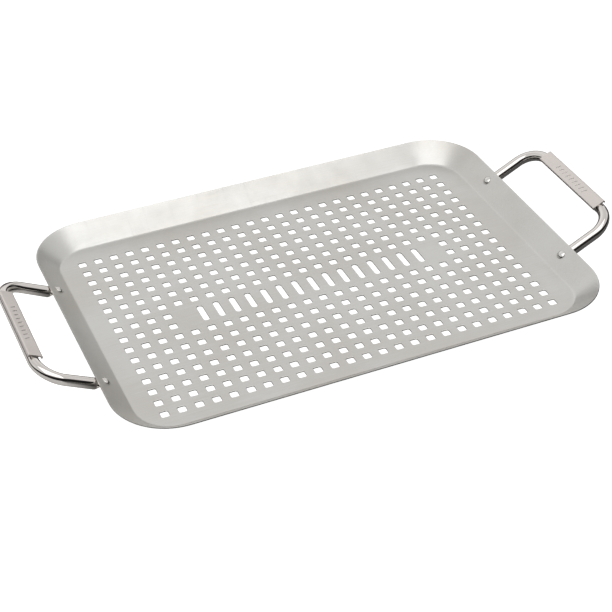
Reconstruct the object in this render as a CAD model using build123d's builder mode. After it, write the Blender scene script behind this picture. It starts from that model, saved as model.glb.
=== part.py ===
from build123d import *
import os
from math import cos, radians, sin, tan

# Grill basket: a shallow perforated tray of stainless sheet with two bent tube handles, a formed
# grip saddle on each handle and four rivets. Millimetres, +Z up, +X along the long side.
# The origin is the middle of the tray's underside, which is the surface that it rests on.

os.makedirs("parts", exist_ok=True)

# ---- Tray ----
SHEET = 1.0                # sheet thickness
PAN_LENGTH = 405.3         # over the rim, along X
PAN_WIDTH = 279.3          # over the rim, along Y
PAN_HEIGHT = 16.5          # underside to the top of the rim
WALL_SLOPE = 41.0          # wall angle above the floor, degrees
RIM_CORNER_RADIUS = 46.6
CREASE_RADIUS = 4.0        # inside radius where the floor turns into the wall

# ---- Punched floor ----
HOLE_PITCH = 13.6
HOLE_SIZE = 6.4
HOLE_CORNER_RADIUS = 1.3
HOLE_COLUMNS = 25
HOLE_ROWS = 16
BAND_COLUMNS = 17          # columns without holes in the two middle rows
BAND_ROWS = 2
FIELD_SHIFT_X = -1.5       # the punched field sits this far from the tray's middle
FIELD_SHIFT_Y = -2.5
SLOT_COUNT = 15            # slots in the band, one on each column but the outermost two
SLOT_WIDTH = 5.0
SLOT_LENGTH = 20.0

# ---- Handles ----
TUBE_DIAMETER = 9.0
TUBE_BORE = 7.0
LEG_SPACING = 124.0        # between the axes of the two legs
BEND_RADIUS = 20.0
HANDLE_RISE = 27.0         # angle of the handle above the floor, degrees
HANDLE_REACH = 39.6        # grip axis beyond the rim, measured level
GRIP_HEIGHT = 30.4         # grip axis above the underside
LEG_START = 1.3            # where the flattening starts, beyond the rim
TAB_THICKNESS = 2.6
TAB_WIDTH = 12.0
TAB_REACH = 4.5            # flat part of the tab from the rivet towards the rim

# ---- Rivets ----
RIVET_FROM_RIM = 9.8       # rivet axis from the outer rim, measured down the wall
SHANK_DIAMETER = 4.0
HEAD_DIAMETER = 7.6
HEAD_HEIGHT = 1.8
HEAD_EDGE = 0.35
TAIL_DIAMETER = 6.4
TAIL_HEIGHT = 1.4

# ---- Grip saddles ----
SADDLE_LENGTH = 86.0
SADDLE_WIDTH = 12.0
SADDLE_SHEET = 1.2
SADDLE_DEPTH = 2.4         # over the top face and the two lips
SADDLE_CORNER = 1.3
GROOVE_COUNT = 9
GROOVE_SPACING = 5.2
GROOVE_LENGTH = 5.0
GROOVE_WIDTH = 1.0
GROOVE_DEPTH = 0.35
GROOVE_SLANT = 25.0

# ---- Worked out from the above ----
slope = radians(WALL_SLOPE)
rise = radians(HANDLE_RISE)
rim_height = PAN_HEIGHT - SHEET * cos(slope)   # the rim's lower, outer edge
wall_run = rim_height / tan(slope)
floor_length = PAN_LENGTH - 2 * wall_run
floor_width = PAN_WIDTH - 2 * wall_run
floor_corner_radius = RIM_CORNER_RADIUS - wall_run
rim_x = PAN_LENGTH / 2
leg_y = LEG_SPACING / 2
up_wall = Vector(cos(slope), 0, sin(slope))
out_of_wall = Vector(sin(slope), 0, -cos(slope))
along_leg = Vector(cos(rise), 0, sin(rise))
off_grip = Vector(-sin(rise), 0, cos(rise))
grip_centre = Vector(rim_x + HANDLE_REACH, 0, GRIP_HEIGHT)
leg_length = (HANDLE_REACH - LEG_START) / cos(rise)
leg_start = grip_centre - along_leg * leg_length
rivet_seat = Vector(rim_x, 0, rim_height) - up_wall * RIVET_FROM_RIM


def on_wall(side, row):
    """Plane on the wall's outer face at a rivet, with x up the wall and z out of the metal."""
    origin = Vector(side * rivet_seat.X, row * leg_y, rivet_seat.Z)
    return Plane(
        origin=origin,
        x_dir=(side * up_wall.X, 0, up_wall.Z),
        z_dir=(side * out_of_wall.X, 0, out_of_wall.Z),
    )


def finish(builder, label):
    """Name a finished piece and write it out."""
    builder.part.label = label
    export_step(builder.part, f"parts/{label}.step")


# ---- Tray: drawn cup with sloping walls, shelled to sheet, then punched ----
band_columns = range((HOLE_COLUMNS - BAND_COLUMNS) // 2, (HOLE_COLUMNS + BAND_COLUMNS) // 2)
band_rows = range((HOLE_ROWS - BAND_ROWS) // 2, (HOLE_ROWS + BAND_ROWS) // 2)
hole_centres = [
    (
        (column - (HOLE_COLUMNS - 1) / 2) * HOLE_PITCH + FIELD_SHIFT_X,
        (row - (HOLE_ROWS - 1) / 2) * HOLE_PITCH + FIELD_SHIFT_Y,
    )
    for column in range(HOLE_COLUMNS)
    for row in range(HOLE_ROWS)
    if not (column in band_columns and row in band_rows)
]


def tray_solid(inset, radius, base, height):
    """A block whose walls open at the tray's slope, its floor outline set in and its crease rounded."""
    with BuildPart() as solid:
        with BuildSketch(Plane.XY.offset(base)):
            RectangleRounded(
                floor_length - 2 * inset, floor_width - 2 * inset, floor_corner_radius - inset
            )
        extrude(amount=height, taper=WALL_SLOPE - 90)
        fillet(solid.faces().sort_by(Axis.Z)[0].edges(), radius=radius)
    return solid.part


hollow = tray_solid(SHEET * tan(slope / 2), CREASE_RADIUS, SHEET, PAN_HEIGHT)

# the rim is cut square to the sheet: nothing is left outside this block
with BuildPart() as rim_trim:
    with BuildSketch(Plane.XY.offset(rim_height)):
        RectangleRounded(PAN_LENGTH, PAN_WIDTH, RIM_CORNER_RADIUS)
    extrude(amount=PAN_HEIGHT - rim_height, taper=WALL_SLOPE)
    with BuildSketch(Plane.XY):
        RectangleRounded(PAN_LENGTH + SHEET, PAN_WIDTH + SHEET, RIM_CORNER_RADIUS + SHEET / 2)
    extrude(amount=rim_height)

with BuildPart() as pan:
    add(tray_solid(0, CREASE_RADIUS + SHEET, 0, PAN_HEIGHT))
    add(hollow, mode=Mode.SUBTRACT)
    add(rim_trim.part, mode=Mode.INTERSECT)
    with BuildSketch(Plane.XY):
        with Locations(*hole_centres):
            RectangleRounded(HOLE_SIZE, HOLE_SIZE, HOLE_CORNER_RADIUS)
        with Locations((FIELD_SHIFT_X, FIELD_SHIFT_Y)):
            with GridLocations(HOLE_PITCH, 0, SLOT_COUNT, 1):
                SlotOverall(SLOT_LENGTH, SLOT_WIDTH, rotation=90)
    extrude(amount=SHEET, mode=Mode.SUBTRACT)
    with Locations(*[on_wall(side, row) for side in (-1, 1) for row in (-1, 1)]):
        Hole(radius=SHANK_DIAMETER / 2, depth=2 * SHEET)
finish(pan, "pan")

# ---- Handles: a bent tube whose flattened ends lie under the wall ----
with BuildPart() as handle_right:
    with BuildLine(Plane(origin=grip_centre, x_dir=along_leg, z_dir=off_grip)) as route:
        FilletPolyline(
            (-leg_length, leg_y),
            (0, leg_y),
            (0, -leg_y),
            (-leg_length, -leg_y),
            radius=BEND_RADIUS,
        )
    with BuildSketch(Plane(origin=route.line @ 0, z_dir=route.line % 0)):
        Circle(TUBE_DIAMETER / 2)
        Circle(TUBE_BORE / 2, mode=Mode.SUBTRACT)
    sweep(path=route.line)
    for row in (-1, 1):
        seat = on_wall(1, row)
        with BuildSketch(seat):
            with Locations((TAB_REACH / 2, 0)):
                Rectangle(TAB_REACH, TAB_WIDTH)
            Circle(TAB_WIDTH / 2)
            Circle(SHANK_DIAMETER / 2, mode=Mode.SUBTRACT)
        extrude(amount=TAB_THICKNESS)
        tab_end = seat.from_local_coords((TAB_REACH - SHEET, 0, TAB_THICKNESS / 2))
        with BuildSketch(Plane(origin=tab_end, x_dir=(0, 1, 0), z_dir=up_wall)):
            Ellipse(TAB_WIDTH / 2, TAB_THICKNESS / 2)
        round_end = Vector(leg_start.X, row * leg_y, leg_start.Z)
        with BuildSketch(Plane(origin=round_end, x_dir=(0, 1, 0), z_dir=along_leg)):
            Circle(TUBE_DIAMETER / 2)
        loft()
finish(handle_right, "handle_right")

with BuildPart() as handle_left:
    mirror(handle_right.part, about=Plane.YZ)
finish(handle_left, "handle_left")

# ---- Grip saddles: a flat-topped channel pressed over the straight of each handle ----
saddle_top = grip_centre + off_grip * (TUBE_DIAMETER / 2 + SADDLE_SHEET)

with BuildPart() as saddle_right:
    with BuildSketch(Plane(origin=saddle_top, x_dir=along_leg, z_dir=(0, -1, 0))):
        with Locations((0, -SADDLE_DEPTH / 2)):
            Rectangle(SADDLE_WIDTH, SADDLE_DEPTH)
        with Locations((0, -SADDLE_SHEET - SADDLE_DEPTH / 2)):
            Rectangle(SADDLE_WIDTH - 2 * SADDLE_SHEET, SADDLE_DEPTH, mode=Mode.SUBTRACT)
    extrude(amount=SADDLE_LENGTH / 2, both=True)
    top_edges = saddle_right.edges().filter_by(Axis.Y).sort_by(Axis((0, 0, 0), off_grip))[-2:]
    fillet(top_edges, radius=SADDLE_CORNER)
    with BuildSketch(Plane(origin=saddle_top, x_dir=(0, 1, 0), z_dir=off_grip)):
        with GridLocations(GROOVE_SPACING, 0, GROOVE_COUNT, 1):
            SlotOverall(GROOVE_LENGTH, GROOVE_WIDTH, rotation=90 - GROOVE_SLANT)
    extrude(amount=-GROOVE_DEPTH, mode=Mode.SUBTRACT)
finish(saddle_right, "grip_saddle_right")

with BuildPart() as saddle_left:
    mirror(saddle_right.part, about=Plane.YZ)
finish(saddle_left, "grip_saddle_left")

# ---- Rivets: domed head inside the wall, shank through wall and tab, set tail underneath ----
grip_length = SHEET + TAB_THICKNESS

for side, side_name in ((-1, "left"), (1, "right")):
    for row, row_name in ((-1, "front"), (1, "back")):
        seat = on_wall(side, row)
        head_seat = seat.offset(-SHEET)
        with BuildPart() as rivet:
            with BuildSketch(
                Plane(origin=head_seat.origin, x_dir=head_seat.x_dir, z_dir=-head_seat.y_dir)
            ):
                with BuildLine():
                    Polyline(
                        (0, -HEAD_HEIGHT),
                        (0, grip_length + TAIL_HEIGHT),
                        (TAIL_DIAMETER / 2, grip_length + TAIL_HEIGHT),
                        (TAIL_DIAMETER / 2, grip_length),
                        (SHANK_DIAMETER / 2, grip_length),
                        (SHANK_DIAMETER / 2, 0),
                        (HEAD_DIAMETER / 2, 0),
                        (HEAD_DIAMETER / 2, -HEAD_EDGE),
                    )
                    TangentArc(
                        (0, -HEAD_HEIGHT), (HEAD_DIAMETER / 2, -HEAD_EDGE), tangent=(1, 0)
                    )
                make_face()
            revolve(axis=Axis(head_seat.origin, head_seat.z_dir))
        finish(rivet, f"rivet_{side_name}_{row_name}")
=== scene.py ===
from math import atan2, copysign, cos, pi, radians, sin, tan

import bmesh
import bpy
from mathutils import Matrix, Vector


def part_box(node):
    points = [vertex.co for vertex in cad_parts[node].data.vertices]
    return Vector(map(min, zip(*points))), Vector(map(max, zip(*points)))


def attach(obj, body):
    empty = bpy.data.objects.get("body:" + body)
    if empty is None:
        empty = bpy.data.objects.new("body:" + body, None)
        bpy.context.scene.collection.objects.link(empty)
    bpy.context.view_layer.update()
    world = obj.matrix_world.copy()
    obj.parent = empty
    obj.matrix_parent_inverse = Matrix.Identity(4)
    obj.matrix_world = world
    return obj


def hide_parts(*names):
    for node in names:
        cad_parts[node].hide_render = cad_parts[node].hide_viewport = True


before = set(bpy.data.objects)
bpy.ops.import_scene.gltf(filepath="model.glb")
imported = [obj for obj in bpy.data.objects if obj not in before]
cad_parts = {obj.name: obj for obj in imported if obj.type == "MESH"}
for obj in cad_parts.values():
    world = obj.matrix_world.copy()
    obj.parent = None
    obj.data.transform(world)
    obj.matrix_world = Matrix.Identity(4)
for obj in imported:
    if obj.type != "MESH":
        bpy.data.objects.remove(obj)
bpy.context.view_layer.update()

MM = 0.001

# ---- Driving dimensions, as in part.py, in metres ----
SHEET = 1.0 * MM
WALL_SLOPE = radians(41.0)
RIM_CORNER_RADIUS = 46.6 * MM
CREASE_RADIUS = 4.0 * MM
HOLE_PITCH = 13.6 * MM
HOLE_SIZE = 6.4 * MM
HOLE_CORNER_RADIUS = 1.3 * MM
HOLE_COLUMNS = 25
HOLE_ROWS = 16
BAND_COLUMNS = 17
BAND_ROWS = 2
FIELD_SHIFT_X = -1.5 * MM
FIELD_SHIFT_Y = -2.5 * MM
SLOT_COUNT = 15
SLOT_WIDTH = 5.0 * MM
SLOT_LENGTH = 20.0 * MM
LEG_SPACING = 124.0 * MM
BEND_RADIUS = 20.0 * MM
HANDLE_RISE = radians(27.0)
HANDLE_REACH = 39.6 * MM
GRIP_HEIGHT = 30.4 * MM
LEG_START = 1.3 * MM
TAB_THICKNESS = 2.6 * MM
TAB_WIDTH = 12.0 * MM
TAB_REACH = 4.5 * MM
RIVET_FROM_RIM = 9.8 * MM
SHANK_RADIUS = 2.0 * MM
HEAD_RADIUS = 3.8 * MM
HEAD_HEIGHT = 1.8 * MM
HEAD_EDGE = 0.35 * MM
TAIL_RADIUS = 3.2 * MM
TAIL_HEIGHT = 1.4 * MM
SADDLE_LENGTH = 86.0 * MM
SADDLE_WIDTH = 12.0 * MM
SADDLE_SHEET = 1.2 * MM
SADDLE_DEPTH = 2.4 * MM
SADDLE_CORNER = 1.3 * MM
GROOVE_COUNT = 9
GROOVE_SPACING = 5.2 * MM
GROOVE_LENGTH = 5.0 * MM
GROOVE_WIDTH = 1.0 * MM
GROOVE_DEPTH = 0.35 * MM
GROOVE_SLANT = radians(25.0)

# ---- Fine detail that only these meshes have ----
ROLL = 0.5 * MM             # the punch rolls the upper edge of each hole over by this much
BREAK_OUT = 0.12 * MM       # height of the torn lower edge of each hole
EDGE_ROUND = 0.18 * MM      # rounding on both sides of the sheet's cut rim
RIM_TILT = radians(6)       # how much steeper the cut face stands than square to the sheet
SOFT_EDGE = 0.12 * MM       # rounding of the grooves' and rivets' edges
LIP_ROUND = 0.25 * MM       # rounding of the grip plates' lower edges
TAIL_ROUND = 0.6 * MM       # rounding of the rivets' set tails

# ---- How finely the meshes are cut ----
CELL_CUTS = 8               # edges along one side of a hole's square of floor
CORNER_CUTS = 8             # edges in half of a tray corner
CREASE_CUTS = 8
WALL_CUTS = 10
TUBE_CUTS = 40              # edges around a handle
TIP_CUTS, TAB_CUTS, BLEND_CUTS, LEG_CUTS = 10, 4, 14, 8
BEND_CUTS, GRIP_CUTS = 20, 16
GROOVE_CUTS_LONG, GROOVE_CUTS_SHORT = 8, 6
PLATE_CORNER_CUTS, PLATE_FOLD_CUTS, PLATE_END_CUTS = 8, 4, 6
RIVET_CUTS, DOME_CUTS, TAIL_CUTS = 48, 12, 5
SHARP_ANGLE = radians(50)   # faces that meet at more than this keep a crisp edge

# ---- The number of a face's finish: the piece's own; punched or engraved, darkened as painted shade; and the cut rim, darkened as painted shade ----
PLAIN, WORKED_AND_SHADED, CUT_RIM = 0, 1, 2

# ---- Light: each pair is where a change starts and ends, as x, y or z of a direction of length 1 ----
SWEEP_TILT = 0.364              # higher starts the lit ceiling further above the camera
SWEEP_START = (-0.05, 0.07)     # how the sweep's lower edge fades in, around the tilt
ROOM_DARK = 0.02                # radiance below that edge
SWEEP_FRONT = 0.80              # radiance of the ceiling in front
SWEEP_BACK = 0.86               # and of the sweep behind
SWEEP_TURN = (-0.3, 0.6)
SWEEP_LOW = 1.07                # factor low down on the sweep
SWEEP_HIGH = 0.90               # and high up
SWEEP_RISE = (0.50, 0.80)
BEHIND = (0.2, 0.5)             # the shares below are gained or lost only behind the tray
STRIP_GAIN = 0.14               # a brighter strip left of straight back, which lights the right crease
STRIP_START = (-0.45, -0.20)
STRIP_END = (-0.10, 0.15)
LEFT_LOSS = -0.14
LEFT_FADE = (-0.75, -0.35)
RIGHT_LOSS = -0.75
RIGHT_FADE = (0.66, 0.86)
GAP_LOSS = -0.9                 # the dark gap between the floor's edge and the sweep
GAP_FADE = (0.12, 0.26)
GAP_END = (0.42, 0.62)          # there is no gap further right
SWEEP_COLOUR = (1.0, 0.995, 0.985, 1)
SOFTBOX_SIZE = (1.9, 1.3)
SOFTBOX_PLACE = (-0.05, -0.46, 1.41)
SOFTBOX_RADIANCE = 0.97
WHITE_GLOW = 1.05               # added for the camera only: floor and background read as white paper
FLOOR_REACH = 3.0
FLOOR_GAP = 0.02 * MM           # keeps the floor's face off the tray's underside
FLOOR_BOUNCE = 0.15             # the share of light that the floor gives back
FLOOR_BOUNCE_LEFT = 0.75        # and beyond the tray's left end

# ---- Camera: a long lens from the front left ----
CAMERA_AZIMUTH = radians(-23.27)
CAMERA_ELEVATION = radians(37.28)
CAMERA_ROLL = radians(-0.70)
CAMERA_PLACE = (-0.3930, -0.8989, 0.7229)
CAMERA_LENS = 88.1          # this and the sensor in millimetres, as Blender takes them
CAMERA_SENSOR = 36.0
CAMERA_SHIFT = (-0.0008, -0.0010)

pan_low, pan_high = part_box("pan")
PAN_HEIGHT = pan_high.z - pan_low.z
TUBE_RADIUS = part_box("handle_right")[1].x - pan_high.x - HANDLE_REACH
RIM_HEIGHT = PAN_HEIGHT - SHEET * cos(WALL_SLOPE)  # the rim's lower, outer edge
WALL_RUN = RIM_HEIGHT / tan(WALL_SLOPE)
FLOOR_HALF = Vector((pan_high.x - WALL_RUN, pan_high.y - WALL_RUN))
FLOOR_CORNER_RADIUS = RIM_CORNER_RADIUS - WALL_RUN


def rounded_outline(half_x, half_y, radius, side_cuts_x, side_cuts_y, arc_cuts):
    """Points of a rounded rectangle, counter-clockwise from the middle of its lower left corner.

    Each side has its number of cuts, of which arc_cuts at either end lie on half a corner."""
    points = []
    sides = (
        (-pi / 2, side_cuts_x, half_x, half_y),
        (0.0, side_cuts_y, half_y, half_x),
        (pi / 2, side_cuts_x, half_x, half_y),
        (pi, side_cuts_y, half_y, half_x),
    )
    for facing, cuts, half_along, half_out in sides:
        straight_cuts = cuts - 2 * arc_cuts
        straight_half = half_along - radius
        for i in range(cuts):
            if i < arc_cuts:
                turn = -pi / 4 * (1 - i / arc_cuts)
                along = -straight_half + radius * sin(turn)
                out = half_out - radius + radius * cos(turn)
            elif i <= arc_cuts + straight_cuts:
                step = (i - arc_cuts) / max(straight_cuts, 1)
                along = straight_half * (2 * step - 1)
                out = half_out
            else:
                turn = pi / 4 * (i - arc_cuts - straight_cuts) / arc_cuts
                along = straight_half + radius * sin(turn)
                out = half_out - radius + radius * cos(turn)
            # "out" points along facing, "along" a quarter turn further on
            points.append((
                out * cos(facing) - along * sin(facing),
                out * sin(facing) + along * cos(facing),
            ))
    return points


def square_outline(half_x, half_y, side_cuts_x, side_cuts_y):
    """Evenly spaced points of a rectangle, in the same order as rounded_outline."""
    points = []
    for i in range(side_cuts_x):
        points.append((-half_x + 2 * half_x * i / side_cuts_x, -half_y))
    for i in range(side_cuts_y):
        points.append((half_x, -half_y + 2 * half_y * i / side_cuts_y))
    for i in range(side_cuts_x):
        points.append((half_x - 2 * half_x * i / side_cuts_x, half_y))
    for i in range(side_cuts_y):
        points.append((-half_x, half_y - 2 * half_y * i / side_cuts_y))
    return points


def straight_run(start, end, cuts):
    """Points of a straight line, without its first one."""
    start, end = Vector(start), Vector(end)
    return [tuple(start.lerp(end, i / cuts)) for i in range(1, cuts + 1)]


def smoothstep(value):
    value = min(max(value, 0.0), 1.0)
    return value * value * (3 - 2 * value)


class MeshParts:
    """Collects rings of points and the faces between them, each face with the number of its finish."""

    def __init__(self):
        self.points = []
        self.faces = []
        self.finishes = []

    def ring(self, ring_points):
        start = len(self.points)
        self.points.extend(ring_points)
        return list(range(start, len(self.points)))

    def face(self, corners, finish=PLAIN):
        self.faces.append(tuple(corners))
        self.finishes.append(finish)

    def join(self, first, second, closed=True, finish=PLAIN):
        count = len(first)
        for i in range(count if closed else count - 1):
            j = (i + 1) % count
            self.face((first[i], first[j], second[j], second[i]), finish)

    def join_all(self, rings, closed=True, finishes=()):
        for i, (first, second) in enumerate(zip(rings, rings[1:])):
            self.join(first, second, closed, finishes[i] if finishes else PLAIN)

    def build(self, name, merge=1e-6):
        mesh = bpy.data.meshes.new(name)
        mesh.from_pydata(self.points, [], self.faces)
        mesh.polygons.foreach_set("material_index", self.finishes)
        work = bmesh.new()
        work.from_mesh(mesh)
        bmesh.ops.remove_doubles(work, verts=work.verts, dist=merge)
        bmesh.ops.recalc_face_normals(work, faces=work.faces)
        for face in work.faces:
            face.smooth = True
        for edge in work.edges:
            edge.smooth = edge.calc_face_angle(0.0) < SHARP_ANGLE
        work.to_mesh(mesh)
        work.free()
        piece = bpy.data.objects.new(name, mesh)
        bpy.context.scene.collection.objects.link(piece)
        return piece


# ---- Tray ----
def punched_cell(parts, centre, cell, outline_at, top, bottom):
    """One rectangle of floor with a punched opening: rolled upper edge, sheared wall, torn lower edge."""
    def lift(points, z):
        return [(centre[0] + x, centre[1] + y, z) for x, y in points]

    rings = [lift(cell, top), lift(outline_at(4 * ROLL), top), lift(outline_at(ROLL), top)]
    for turn in (pi / 6, pi / 3, pi / 2):
        rings.append(lift(outline_at(ROLL * (1 - sin(turn))), top - ROLL * (1 - cos(turn))))
    rings.append(lift(outline_at(0), bottom + BREAK_OUT))
    rings.append(lift(outline_at(BREAK_OUT / 2), bottom))
    rings.append(lift(cell, bottom))
    # the roll's lower half, the wall and the torn edge take the darkened material, which is painted shade
    finishes = [PLAIN] * 4 + [WORKED_AND_SHADED] * 3 + [PLAIN]
    parts.join_all([parts.ring(points) for points in rings], finishes=finishes)


def crease(radius, cuts):
    """The bend between floor and wall: (distance outwards from the floor's edge, rise) as it turns up."""
    start = -radius * tan(WALL_SLOPE / 2)
    turns = [WALL_SLOPE * i / cuts for i in range(cuts + 1)]
    return [(start + radius * sin(turn), radius * (1 - cos(turn))) for turn in turns]


def sheet_profile():
    """(distance outwards, height) up the inner wall, over the rim's cut face and down the outer wall.

    It starts and ends where the floor does. The second result is the first ring of the cut face."""
    inner_offset = SHEET * tan(WALL_SLOPE / 2)
    inner = [
        (out - inner_offset, pan_low.z + SHEET + rise) for out, rise in crease(CREASE_RADIUS, CREASE_CUTS)
    ]
    outer = [(out, pan_low.z + rise) for out, rise in crease(CREASE_RADIUS + SHEET, CREASE_CUTS)]
    high = Vector((WALL_RUN - SHEET * sin(WALL_SLOPE), pan_low.z + PAN_HEIGHT))
    up_sheet = Vector((cos(WALL_SLOPE), sin(WALL_SLOPE)))
    down_cut = Vector((sin(WALL_SLOPE - RIM_TILT), -cos(WALL_SLOPE - RIM_TILT)))
    low = high + down_cut * (SHEET / cos(RIM_TILT))

    def rounded(corner, incoming, outgoing):
        points = []
        for step in (0.25, 0.5, 0.75, 1.0):
            offset = outgoing * (EDGE_ROUND * step ** 2) - incoming * (EDGE_ROUND * (1 - step) ** 2)
            points.append(tuple(corner + offset))
        return points

    profile = inner + straight_run(inner[-1], high - up_sheet * EDGE_ROUND, WALL_CUTS)
    profile += rounded(high, up_sheet, down_cut)
    cut_ring = len(profile) - 1
    profile.append(tuple(low - down_cut * EDGE_ROUND))
    profile += rounded(low, down_cut, -up_sheet)
    profile += straight_run(profile[-1], outer[-1], WALL_CUTS)
    profile += outer[-2::-1]
    return profile, cut_ring


def build_pan():
    """The tray's sheet as one closed skin: punched field, plain border, wall and rim."""
    parts = MeshParts()
    top, bottom = pan_low.z + SHEET, pan_low.z
    half = HOLE_PITCH / 2
    square = square_outline(half, half, CELL_CUTS, CELL_CUTS)
    tall = square_outline(half, half * BAND_ROWS, CELL_CUTS, CELL_CUTS * BAND_ROWS)

    def hole_at(spread):
        size = HOLE_SIZE / 2 + spread
        return rounded_outline(size, size, HOLE_CORNER_RADIUS + spread, CELL_CUTS, CELL_CUTS, 2)

    def slot_at(spread):
        return rounded_outline(
            SLOT_WIDTH / 2 + spread, SLOT_LENGTH / 2 + spread, SLOT_WIDTH / 2 + spread,
            CELL_CUTS, CELL_CUTS * BAND_ROWS, CELL_CUTS // 2,
        )

    first_band_column = (HOLE_COLUMNS - BAND_COLUMNS) // 2
    first_band_row = (HOLE_ROWS - BAND_ROWS) // 2
    first_slot_column = (HOLE_COLUMNS - SLOT_COUNT) // 2
    for column in range(HOLE_COLUMNS):
        x = (column - (HOLE_COLUMNS - 1) / 2) * HOLE_PITCH + FIELD_SHIFT_X
        in_band_columns = first_band_column <= column < first_band_column + BAND_COLUMNS
        has_slot = first_slot_column <= column < first_slot_column + SLOT_COUNT
        if has_slot:
            punched_cell(parts, (x, FIELD_SHIFT_Y), tall, slot_at, top, bottom)
        for row in range(HOLE_ROWS):
            y = (row - (HOLE_ROWS - 1) / 2) * HOLE_PITCH + FIELD_SHIFT_Y
            in_band = in_band_columns and first_band_row <= row < first_band_row + BAND_ROWS
            if not in_band:
                punched_cell(parts, (x, y), square, hole_at, top, bottom)
            elif not has_slot:
                for z in (top, bottom):
                    rim_ring = parts.ring([(x + a, y + b, z) for a, b in square])
                    inner = parts.ring([(x + a / 2, y + b / 2, z) for a, b in square])
                    parts.join(rim_ring, inner)
                    parts.face(inner)
    side_x, side_y = HOLE_COLUMNS * CELL_CUTS, HOLE_ROWS * CELL_CUTS
    field = square_outline(HOLE_COLUMNS * half, HOLE_ROWS * half, side_x, side_y)
    field = [(x + FIELD_SHIFT_X, y + FIELD_SHIFT_Y) for x, y in field]

    def loop(spread, z):
        outline = rounded_outline(
            FLOOR_HALF.x + spread, FLOOR_HALF.y + spread, FLOOR_CORNER_RADIUS + spread,
            side_x, side_y, CORNER_CUTS,
        )
        return [(x, y, z) for x, y in outline]

    profile, cut_ring = sheet_profile()

    def between(z, edge):
        """Rings that spread from the punched field to the floor's edge."""
        rings = []
        for step in (0.0, 0.35, 0.7):
            rings.append([
                (x + (u - x) * step, y + (v - y) * step, z) for (x, y), (u, v, _) in zip(field, edge)
            ])
        return rings

    edge_loops = [loop(spread, z) for spread, z in profile]
    inside = between(top, edge_loops[0])
    rings = inside + edge_loops + between(bottom, edge_loops[-1])[::-1]
    finishes = [PLAIN] * (len(rings) - 1)
    # the rim's cut face takes the darkened material, which is painted shade
    finishes[len(inside) + cut_ring] = CUT_RIM
    parts.join_all([parts.ring(points) for points in rings], finishes=finishes)
    return parts.build("pan_sheet", merge=5e-6)


# ---- Handles ----
grip_centre = Vector((pan_high.x + HANDLE_REACH, 0, GRIP_HEIGHT))
along_leg = Vector((cos(HANDLE_RISE), 0, sin(HANDLE_RISE)))
off_grip = Vector((-sin(HANDLE_RISE), 0, cos(HANDLE_RISE)))
up_wall = Vector((cos(WALL_SLOPE), 0, sin(WALL_SLOPE)))
off_wall = Vector((-sin(WALL_SLOPE), 0, cos(WALL_SLOPE)))
rivet_seat = Vector((pan_high.x, 0, pan_low.z + RIM_HEIGHT)) - up_wall * RIVET_FROM_RIM
ACROSS = Vector((0, 1, 0))


def leg_stations():
    """One leg from the tab's tip to the bend: centre, direction, half width and half thickness of each."""
    half_tab = TAB_THICKNESS / 2
    tab_line = rivet_seat - off_wall * half_tab
    leg_end = grip_centre - along_leg * BEND_RADIUS
    tube_start = grip_centre - along_leg * ((HANDLE_REACH - LEG_START) / cos(HANDLE_RISE))
    stations = []
    # the round tip, thinner at its edge, from a first station a little way in
    tip = TAB_WIDTH / 2
    first_angle = 0.02
    for i in range(TIP_CUTS):
        angle = first_angle + (pi / 2 - first_angle) * i / TIP_CUTS
        thick = half_tab * min(1.0, 0.55 + 0.9 * sin(angle))
        stations.append((tab_line - up_wall * (tip * cos(angle)), up_wall, tip * sin(angle), thick))
    for i in range(TAB_CUTS):
        stations.append((tab_line + up_wall * (TAB_REACH * i / TAB_CUTS), up_wall, tip, half_tab))
    # a cubic from the tab's line to the tube's line, along which the section swells to the round tube
    start = tab_line + up_wall * TAB_REACH
    span = (tube_start - start).length
    for i in range(BLEND_CUTS):
        step = i / BLEND_CUTS
        swell = smoothstep(step)
        centre = start * (1 - swell) + tube_start * swell
        centre += up_wall * (span * step * (1 - step) ** 2) + along_leg * (span * step * step * (step - 1))
        direction = (up_wall * (1 - step) + along_leg * step).normalized()
        wide = tip + (TUBE_RADIUS - tip) * swell
        thick = half_tab + (TUBE_RADIUS - half_tab) * swell
        stations.append((centre, direction, wide, thick))
    for i in range(LEG_CUTS + 1):
        stations.append((tube_start.lerp(leg_end, i / LEG_CUTS), along_leg, TUBE_RADIUS, TUBE_RADIUS))
    return stations


def flipped(vector):
    """The same vector on the other leg."""
    return Vector((vector.x, -vector.y, vector.z))


def tube_section(centre, direction, outward, wide, thick):
    """Points around the tube: round at power 2, squarer where it is flattened."""
    upward = direction.cross(outward)
    if upward.z < 0:
        upward = -upward
    flatness = 1 - min(thick / TUBE_RADIUS, 1.0)
    power = 2 / (2 + 3 * flatness)
    points = []
    for i in range(TUBE_CUTS):
        angle = 2 * pi * i / TUBE_CUTS
        u = wide * copysign(abs(cos(angle)) ** power, cos(angle))
        v = thick * copysign(abs(sin(angle)) ** power, sin(angle))
        points.append(tuple(centre + outward * u + upward * v))
    return points


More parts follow.
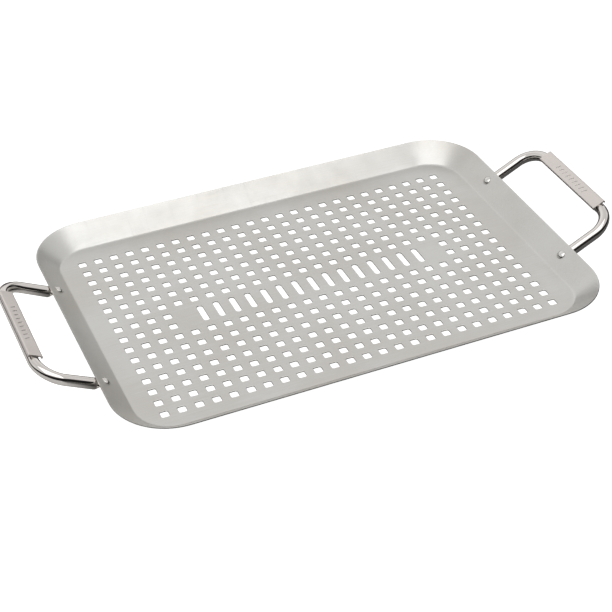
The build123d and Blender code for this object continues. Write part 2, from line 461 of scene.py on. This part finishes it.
def build_handle(name, side):
    """The whole bent tube, swept from the tip of one flattened end to the tip of the other."""
    parts = MeshParts()
    half_leg = LEG_SPACING / 2
    path = []
    for centre, direction, wide, thick in leg_stations():
        path.append((centre + ACROSS * half_leg, direction, ACROSS, wide, thick))
    bend_centre = grip_centre - along_leg * BEND_RADIUS + ACROSS * (half_leg - BEND_RADIUS)
    for i in range(1, BEND_CUTS + 1):
        turn = pi / 2 * i / BEND_CUTS
        outward = ACROSS * cos(turn) + along_leg * sin(turn)
        direction = along_leg * cos(turn) - ACROSS * sin(turn)
        path.append((bend_centre + outward * BEND_RADIUS, direction, outward, TUBE_RADIUS, TUBE_RADIUS))
    half_path = list(path)
    straight_half = half_leg - BEND_RADIUS
    for i in range(1, GRIP_CUTS):
        across = straight_half * (1 - 2 * i / GRIP_CUTS)
        path.append((grip_centre + ACROSS * across, -ACROSS, along_leg, TUBE_RADIUS, TUBE_RADIUS))
    for centre, direction, outward, wide, thick in reversed(half_path):
        path.append((flipped(centre), -flipped(direction), flipped(outward), wide, thick))
    rings = [parts.ring(tube_section(*station)) for station in path]

    # outward flips from one leg to the other, so each ring is joined to the next at its nearest turn
    def mismatch(first, second, shift):
        total = 0.0
        for i in range(0, TUBE_CUTS, 5):
            other = second[(i + shift) % TUBE_CUTS]
            total += (Vector(parts.points[first[i]]) - Vector(parts.points[other])).length
        return total

    for first, second in zip(rings, rings[1:]):
        best = min(range(TUBE_CUTS), key=lambda shift: mismatch(first, second, shift))
        parts.join(first, second[best:] + second[:best])
    parts.face(rings[0])
    parts.face(rings[-1])
    if side < 0:
        parts.points = [(-x, y, z) for x, y, z in parts.points]
    return parts.build(name)


# ---- Grip saddles ----
def build_saddle(name, side):
    """A flat-topped channel with a bent lip along each side and slanted grooves in its top."""
    parts = MeshParts()
    top_centre = grip_centre + off_grip * (TUBE_RADIUS + SADDLE_SHEET)

    def place(u, across, down):
        point = top_centre + along_leg * u + ACROSS * across - off_grip * down
        return (side * point.x, point.y, point.z)

    half_width, half_length = SADDLE_WIDTH / 2, SADDLE_LENGTH / 2
    half_flat = half_width - SADDLE_CORNER
    grooved = GROOVE_COUNT * GROOVE_SPACING
    end_margin = (SADDLE_LENGTH - grooved) / 2
    cell = square_outline(GROOVE_SPACING / 2, half_flat, GROOVE_CUTS_SHORT, GROOVE_CUTS_LONG)

    def groove_at(spread):
        outline = rounded_outline(
            GROOVE_WIDTH / 2 + spread, GROOVE_LENGTH / 2 + spread, GROOVE_WIDTH / 2 + spread,
            GROOVE_CUTS_SHORT, GROOVE_CUTS_LONG, GROOVE_CUTS_SHORT // 2,
        )
        c, s = cos(GROOVE_SLANT), sin(GROOVE_SLANT)
        return [(x * c - y * s, x * s + y * c) for x, y in outline]

    depths = (
        (cell, 0), (groove_at(2 * SOFT_EDGE), 0), (groove_at(SOFT_EDGE), 0),
        (groove_at(SOFT_EDGE * 0.3), SOFT_EDGE * 0.3), (groove_at(0), SOFT_EDGE),
        (groove_at(-SOFT_EDGE), GROOVE_DEPTH - SOFT_EDGE / 2), (groove_at(-2 * SOFT_EDGE), GROOVE_DEPTH),
    )
    for i in range(GROOVE_COUNT):
        across = (i - (GROOVE_COUNT - 1) / 2) * GROOVE_SPACING
        rings = [
            parts.ring([place(y, across + x, down) for x, y in outline]) for outline, down in depths
        ]
        # the groove walls and floors take the near-black material, which is painted shade
        parts.join_all(rings, finishes=[PLAIN] + [WORKED_AND_SHADED] * 5)
        parts.face(rings[-1], WORKED_AND_SHADED)

    # half of the channel's section, from the flat top out over the corner, round the lip and back inside
    outside = [(half_flat, 0.0)]
    for i in range(1, PLATE_CORNER_CUTS + 1):
        turn = pi / 2 * i / PLATE_CORNER_CUTS
        outside.append((half_flat + SADDLE_CORNER * sin(turn), SADDLE_CORNER * (1 - cos(turn))))
    outside += [
        (half_width, SADDLE_DEPTH - LIP_ROUND),
        (half_width - LIP_ROUND * 0.3, SADDLE_DEPTH - LIP_ROUND * 0.3),
        (half_width - LIP_ROUND, SADDLE_DEPTH),
    ]
    lip_inside = half_width - SADDLE_SHEET
    inside = [
        (lip_inside + LIP_ROUND, SADDLE_DEPTH),
        (lip_inside + LIP_ROUND * 0.3, SADDLE_DEPTH - LIP_ROUND * 0.3),
        (lip_inside, SADDLE_DEPTH - LIP_ROUND),
    ]
    fold_radius = SADDLE_CORNER - SADDLE_SHEET
    for i in range(PLATE_FOLD_CUTS + 1):
        turn = pi / 2 * (1 - i / PLATE_FOLD_CUTS)
        inside.append((half_flat + fold_radius * sin(turn), SADDLE_SHEET + fold_radius * (1 - cos(turn))))

    # stations along the grip: plain end, grooved middle, plain end
    groove_steps = GROOVE_COUNT * GROOVE_CUTS_SHORT
    plain_end = [half_length - end_margin * i / PLATE_END_CUTS for i in range(PLATE_END_CUTS + 1)]
    stations = list(plain_end)
    stations += [grooved / 2 - grooved * i / groove_steps for i in range(1, groove_steps)]
    stations += [-grooved / 2 - end_margin * i / PLATE_END_CUTS for i in range(PLATE_END_CUTS + 1)]
    flat = [half_flat * (1 - 2 * i / GROOVE_CUTS_LONG) for i in range(GROOVE_CUTS_LONG + 1)]

    def strip(section, along_grip):
        """A surface that runs along the grip through the same section at each station."""
        rings = [parts.ring([place(u, across, down) for u, down in section]) for across in along_grip]
        parts.join_all(rings, closed=False)

    for hand in (-1, 1):
        strip([(hand * u, down) for u, down in outside + inside], stations)
    for hand in (-1, 1):
        strip([(u, 0) for u in flat], [hand * across for across in plain_end])
    strip([(u, SADDLE_SHEET) for u in flat], stations)

    # the two end faces, each one face between the outer and the inner outline
    upper = [(-u, down) for u, down in reversed(outside)]
    upper += [(u, 0.0) for u in reversed(flat[1:-1])] + outside
    lower = [(-u, down) for u, down in inside]
    lower += [(u, SADDLE_SHEET) for u in reversed(flat[1:-1])] + inside[::-1]
    for hand in (-1, 1):
        upper_ring = parts.ring([place(u, hand * half_length, down) for u, down in upper])
        lower_ring = parts.ring([place(u, hand * half_length, down) for u, down in lower])
        parts.face(upper_ring + lower_ring[::-1])
    return parts.build(name, merge=2e-6)


# ---- Rivets ----
def build_rivet(name, side, row):
    """Turned profile: domed head, shank, and a set tail with a rounded edge."""
    parts = MeshParts()
    seat = rivet_seat + off_wall * SHEET
    origin = Vector((side * seat.x, row * LEG_SPACING / 2, seat.z))
    normal = Vector((side * off_wall.x, 0, off_wall.z))
    first = Vector((side * up_wall.x, 0, up_wall.z))
    rise = HEAD_HEIGHT - HEAD_EDGE
    ball = (HEAD_RADIUS ** 2 + rise ** 2) / (2 * rise)
    widest = atan2(HEAD_RADIUS, ball - rise)
    profile = []
    for i in range(1, DOME_CUTS + 1):
        angle = widest * i / DOME_CUTS
        profile.append((ball * sin(angle), HEAD_HEIGHT - ball * (1 - cos(angle))))
    tail_seat = -SHEET - TAB_THICKNESS
    tail_end = tail_seat - TAIL_HEIGHT
    profile += [
        (HEAD_RADIUS, HEAD_EDGE - SOFT_EDGE), (HEAD_RADIUS, SOFT_EDGE), (HEAD_RADIUS - SOFT_EDGE, 0.0),
        (SHANK_RADIUS, 0.0), (SHANK_RADIUS, tail_seat),
        (TAIL_RADIUS - SOFT_EDGE, tail_seat), (TAIL_RADIUS, tail_seat - SOFT_EDGE),
    ]
    for i in range(TAIL_CUTS + 1):
        turn = pi / 2 * i / TAIL_CUTS
        radius = TAIL_RADIUS - TAIL_ROUND * (1 - cos(turn))
        profile.append((radius, tail_end + TAIL_ROUND * (1 - sin(turn))))
    profile.append((TAIL_RADIUS / 2, tail_end))
    second = normal.cross(first)
    spokes = []
    for i in range(RIVET_CUTS):
        angle = 2 * pi * i / RIVET_CUTS
        spokes.append(first * cos(angle) + second * sin(angle))
    rings = []
    for radius, height in profile:
        centre = origin + normal * height
        rings.append(parts.ring([tuple(centre + spoke * radius) for spoke in spokes]))
    parts.join_all(rings)
    for ring, height in ((rings[0], HEAD_HEIGHT), (rings[-1], tail_end)):
        tip = parts.ring([tuple(origin + normal * height)])[0]
        for i in range(RIVET_CUTS):
            parts.face((ring[i], ring[(i + 1) % RIVET_CUTS], tip))
    return parts.build(name)


# ---- Node helpers ----
def feed(tree, value, socket):
    """Link a socket's value in, or set a plain number."""
    if isinstance(value, bpy.types.NodeSocket):
        tree.links.new(value, socket)
    else:
        socket.default_value = value


def calculate(tree, kind, *values):
    """A Math node's result."""
    node = tree.nodes.new("ShaderNodeMath")
    node.operation = kind
    for value, socket in zip(values, node.inputs):
        feed(tree, value, socket)
    return node.outputs["Value"]


def combine(tree, kind, *values):
    """All the values added or multiplied together."""
    result = values[0]
    for value in values[1:]:
        result = calculate(tree, kind, result, value)
    return result


def remap(tree, value, span, first, last, interpolation="LINEAR"):
    """Goes from first to last as the value crosses the span, and stays level on either side of it."""
    node = tree.nodes.new("ShaderNodeMapRange")
    node.interpolation_type = interpolation
    node.inputs["From Min"].default_value, node.inputs["From Max"].default_value = span
    node.inputs["To Min"].default_value = first
    node.inputs["To Max"].default_value = last
    tree.links.new(value, node.inputs["Value"])
    return node.outputs["Result"]


# ---- Materials ----
NOISE_SPAN = (0.3, 0.7)     # the part of a noise texture's range that it really fills
SCUFF_SPAN = (0.66, 0.74)   # only its peaks, for sparse scuffs
GRAIN_STRETCH = {"x": (0.03, 1, 1), "y": (1, 0.03, 1), None: (1, 1, 1)}


def steel(name, colour, roughness, grain_scale, grain_depth, grain_axis=None, blotch=0.05, wear=0.05):
    """Stainless steel: fine grain drawn along one axis, cloudy variation of tint and gloss, fine scuffs."""
    material = bpy.data.materials.new(name)
    material.use_nodes = True
    tree = material.node_tree
    shader = tree.nodes["Principled BSDF"]
    shader.inputs["Metallic"].default_value = 1.0
    place = tree.nodes.new("ShaderNodeTexCoord")

    def noise(scale, detail, stretch=(1, 1, 1), rough=0.5, turn=0.0):
        mapping = tree.nodes.new("ShaderNodeMapping")
        mapping.inputs["Scale"].default_value = stretch
        mapping.inputs["Rotation"].default_value = (0, 0, turn)
        tree.links.new(place.outputs["Object"], mapping.inputs["Vector"])
        texture = tree.nodes.new("ShaderNodeTexNoise")
        texture.inputs["Scale"].default_value = scale
        texture.inputs["Detail"].default_value = detail
        texture.inputs["Roughness"].default_value = rough
        tree.links.new(mapping.outputs["Vector"], texture.inputs["Vector"])
        return texture.outputs["Fac"]

    clouds = noise(14.0, 3.0)
    grain = noise(grain_scale, 4.0, GRAIN_STRETCH[grain_axis], rough=0.7)
    smudges = noise(60.0, 5.0, rough=0.6)

    # tint: a little darker and warmer in some clouds, lighter in others, broken up by the grain
    red, green, blue = [part * (1 - blotch) for part in colour]
    ramp = tree.nodes.new("ShaderNodeValToRGB")
    dark, light = ramp.color_ramp.elements
    dark.position = 0.35
    dark.color = (red * (1 + blotch / 2), green, blue * (1 - blotch / 2), 1)
    light.position = 0.65
    light.color = (*[part * (1 + blotch) for part in colour], 1)
    tint = combine(tree, "ADD", clouds, remap(tree, grain, NOISE_SPAN, -0.18, 0.18))
    tree.links.new(tint, ramp.inputs["Fac"])
    tree.links.new(ramp.outputs["Color"], shader.inputs["Base Color"])

    # gloss: grain, smudges, and two sparse families of long fine scuffs from handling
    gloss = combine(
        tree, "ADD",
        remap(tree, grain, NOISE_SPAN, -0.05, 0.05),
        remap(tree, smudges, NOISE_SPAN, roughness * 0.9, roughness * 1.12),
        remap(tree, noise(420.0, 2.0, (0.04, 1, 0.04), turn=radians(28)), SCUFF_SPAN, 0.0, wear),
        remap(tree, noise(360.0, 2.0, (1, 0.05, 0.05), turn=radians(17)), SCUFF_SPAN, 0.0, wear),
    )
    tree.links.new(gloss, shader.inputs["Roughness"])

    bump = tree.nodes.new("ShaderNodeBump")
    bump.inputs["Strength"].default_value = 0.35
    bump.inputs["Distance"].default_value = grain_depth
    tree.links.new(grain, bump.inputs["Height"])
    tree.links.new(bump.outputs["Normal"], shader.inputs["Normal"])
    return material


def dress(piece, materials, node):
    """Give a piece its finishes, in the order of the numbers on its faces, put it under the root body and
    hide the CAD node that it replaces.
    """
    piece.data.materials.clear()
    for material in materials:
        piece.data.materials.append(material)
    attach(piece, "root")
    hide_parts(node)


satin = steel(
    "satin_steel", colour=(0.63, 0.628, 0.61), roughness=0.36,
    grain_scale=1100.0, grain_depth=0.02 * MM, grain_axis="x",
)
polished = steel(
    "polished_steel", colour=(0.72, 0.69, 0.665), roughness=0.06,
    grain_scale=300.0, grain_depth=0.004 * MM, blotch=0.02, wear=0.04,
)
plate = steel(
    "brushed_plate", colour=(0.70, 0.655, 0.63), roughness=0.34,
    grain_scale=1400.0, grain_depth=0.02 * MM, grain_axis="y", blotch=0.02,
)
# hole walls: rougher sheared steel, with its colour darkened as painted shade
sheared_and_shaded = steel(
    "sheared_steel_painted_shade", colour=(0.30, 0.295, 0.28), roughness=0.5,
    grain_scale=1800.0, grain_depth=0.03 * MM,
)
# grooves: a near-black colour as painted shade inside them
groove_shade = steel(
    "groove_painted_shade", colour=(0.035, 0.03, 0.028), roughness=0.6,
    grain_scale=1800.0, grain_depth=0.03 * MM,
)
# the rim's cut face: its colour darkened as painted shade
rim_face_shade = steel(
    "rim_face_painted_shade", colour=(0.20, 0.195, 0.19), roughness=0.2,
    grain_scale=1800.0, grain_depth=0.01 * MM,
)
rivet_steel = steel(
    "rivet_steel", colour=(0.70, 0.69, 0.67), roughness=0.2,
    grain_scale=500.0, grain_depth=0.01 * MM, blotch=0.02, wear=0.08,
)

dress(build_pan(), [satin, sheared_and_shaded, rim_face_shade], "pan")
for side, side_name in ((-1, "left"), (1, "right")):
    tube = build_handle(f"tube_{side_name}", side)
    dress(tube, [polished], f"handle_{side_name}")
    saddle = build_saddle(f"saddle_{side_name}", side)
    dress(saddle, [plate, groove_shade], f"grip_saddle_{side_name}")
    for row, row_name in ((-1, "front"), (1, "back")):
        node = f"rivet_{side_name}_{row_name}"
        dress(build_rivet(f"{node}_turned", side, row), [rivet_steel], node)


# ---- Floor, light and camera ----
def build_floor():
    """A pale floor, white to the camera, that gives back more light beyond the tray's left end."""
    parts = MeshParts()
    reach = FLOOR_REACH
    parts.face(parts.ring([(-reach, -reach, 0), (reach, -reach, 0), (reach, reach, 0), (-reach, reach, 0)]))
    floor = parts.build("studio_floor")
    floor.location.z = pan_low.z - FLOOR_GAP
    material = bpy.data.materials.new("studio_floor")
    material.use_nodes = True
    tree = material.node_tree
    shader = tree.nodes["Principled BSDF"]
    shader.inputs["Roughness"].default_value = 0.9
    shader.inputs["Specular IOR Level"].default_value = 0.1
    shader.inputs["Emission Color"].default_value = (1, 1, 1, 1)
    place = tree.nodes.new("ShaderNodeTexCoord")
    split = tree.nodes.new("ShaderNodeSeparateXYZ")
    tree.links.new(place.outputs["Object"], split.inputs["Vector"])
    left_end = (pan_low.x - 2 * HOLE_PITCH, pan_low.x + HOLE_PITCH)
    bounce = remap(tree, split.outputs["X"], left_end, FLOOR_BOUNCE_LEFT, FLOOR_BOUNCE, "SMOOTHSTEP")
    tree.links.new(bounce, shader.inputs["Base Color"])
    path = tree.nodes.new("ShaderNodeLightPath")
    glow = calculate(tree, "MULTIPLY", path.outputs["Is Camera Ray"], WHITE_GLOW)
    tree.links.new(glow, shader.inputs["Emission Strength"])
    floor.data.materials.append(material)


def build_world():
    """A photographer's sweep: bright behind and overhead, dark in front below the camera."""
    world = bpy.data.worlds.new("studio")
    bpy.context.scene.world = world
    world.use_nodes = True
    tree = world.node_tree
    place = tree.nodes.new("ShaderNodeTexCoord")
    split = tree.nodes.new("ShaderNodeSeparateXYZ")
    tree.links.new(place.outputs["Generated"], split.inputs["Vector"])
    x, y, z = split.outputs["X"], split.outputs["Y"], split.outputs["Z"]

    def fade(value, span, first, last):
        return remap(tree, value, span, first, last, "SMOOTHSTEP")

    # the lit part begins at the horizon behind the tray and higher up towards the camera
    height = calculate(tree, "MULTIPLY_ADD", y, SWEEP_TILT, z)
    lit = fade(height, [SWEEP_TILT + edge for edge in SWEEP_START], ROOM_DARK, 1.0)
    strength = fade(y, SWEEP_TURN, SWEEP_FRONT, SWEEP_BACK)
    fall = fade(z, SWEEP_RISE, SWEEP_LOW, SWEEP_HIGH)
    # what sets it off from an even sweep, only behind the tray
    strip = combine(
        tree, "MULTIPLY", fade(x, STRIP_START, 0.0, STRIP_GAIN), fade(x, STRIP_END, 1.0, 0.0)
    )
    left = fade(x, LEFT_FADE, LEFT_LOSS, 0.0)
    right = fade(x, RIGHT_FADE, 0.0, RIGHT_LOSS)
    gap = combine(tree, "MULTIPLY", fade(z, GAP_FADE, GAP_LOSS, 0.0), fade(x, GAP_END, 1.0, 0.0))
    behind = fade(y, BEHIND, 0.0, 1.0)
    uneven = calculate(tree, "MULTIPLY_ADD", combine(tree, "ADD", strip, left, right, gap), behind, 1.0)
    level = combine(tree, "MULTIPLY", lit, strength, uneven, fall)
    path = tree.nodes.new("ShaderNodeLightPath")
    seen = calculate(tree, "MULTIPLY_ADD", path.outputs["Is Camera Ray"], WHITE_GLOW, level)
    background = tree.nodes["Background"]
    background.inputs["Color"].default_value = SWEEP_COLOUR
    tree.links.new(seen, background.inputs["Strength"])


def build_softbox():
    """A rectangle of light in front of and above the tray, which faces its middle."""
    light = bpy.data.lights.new("softbox", "AREA")
    light.shape = "RECTANGLE"
    light.size, light.size_y = SOFTBOX_SIZE
    light.energy = SOFTBOX_RADIANCE * pi * light.size * light.size_y
    lamp = bpy.data.objects.new("softbox", light)
    lamp.location = SOFTBOX_PLACE
    lamp.rotation_euler = (-Vector(SOFTBOX_PLACE)).to_track_quat("-Z", "Y").to_euler()
    bpy.context.scene.collection.objects.link(lamp)


def build_camera():
    """A long lens that looks down on the tray from the front left."""
    back = Vector((
        sin(CAMERA_AZIMUTH) * cos(CAMERA_ELEVATION),
        -cos(CAMERA_AZIMUTH) * cos(CAMERA_ELEVATION),
        sin(CAMERA_ELEVATION),
    ))
    level_right = Vector((0, 0, 1)).cross(back).normalized()
    right = Matrix.Rotation(CAMERA_ROLL, 3, back) @ level_right
    up = back.cross(right)
    turned = Matrix((right, up, back)).transposed().to_4x4()
    camera = bpy.data.objects.new("camera", bpy.data.cameras.new("camera"))
    camera.data.lens = CAMERA_LENS
    camera.data.sensor_width = CAMERA_SENSOR
    camera.data.clip_start = 0.05
    camera.data.shift_x, camera.data.shift_y = CAMERA_SHIFT
    camera.matrix_world = Matrix.Translation(CAMERA_PLACE) @ turned
    bpy.context.scene.collection.objects.link(camera)
    bpy.context.scene.camera = camera


build_floor()
build_world()
build_softbox()
build_camera()

view = bpy.context.scene.view_settings
view.view_transform = "Standard"
view.look = "None"
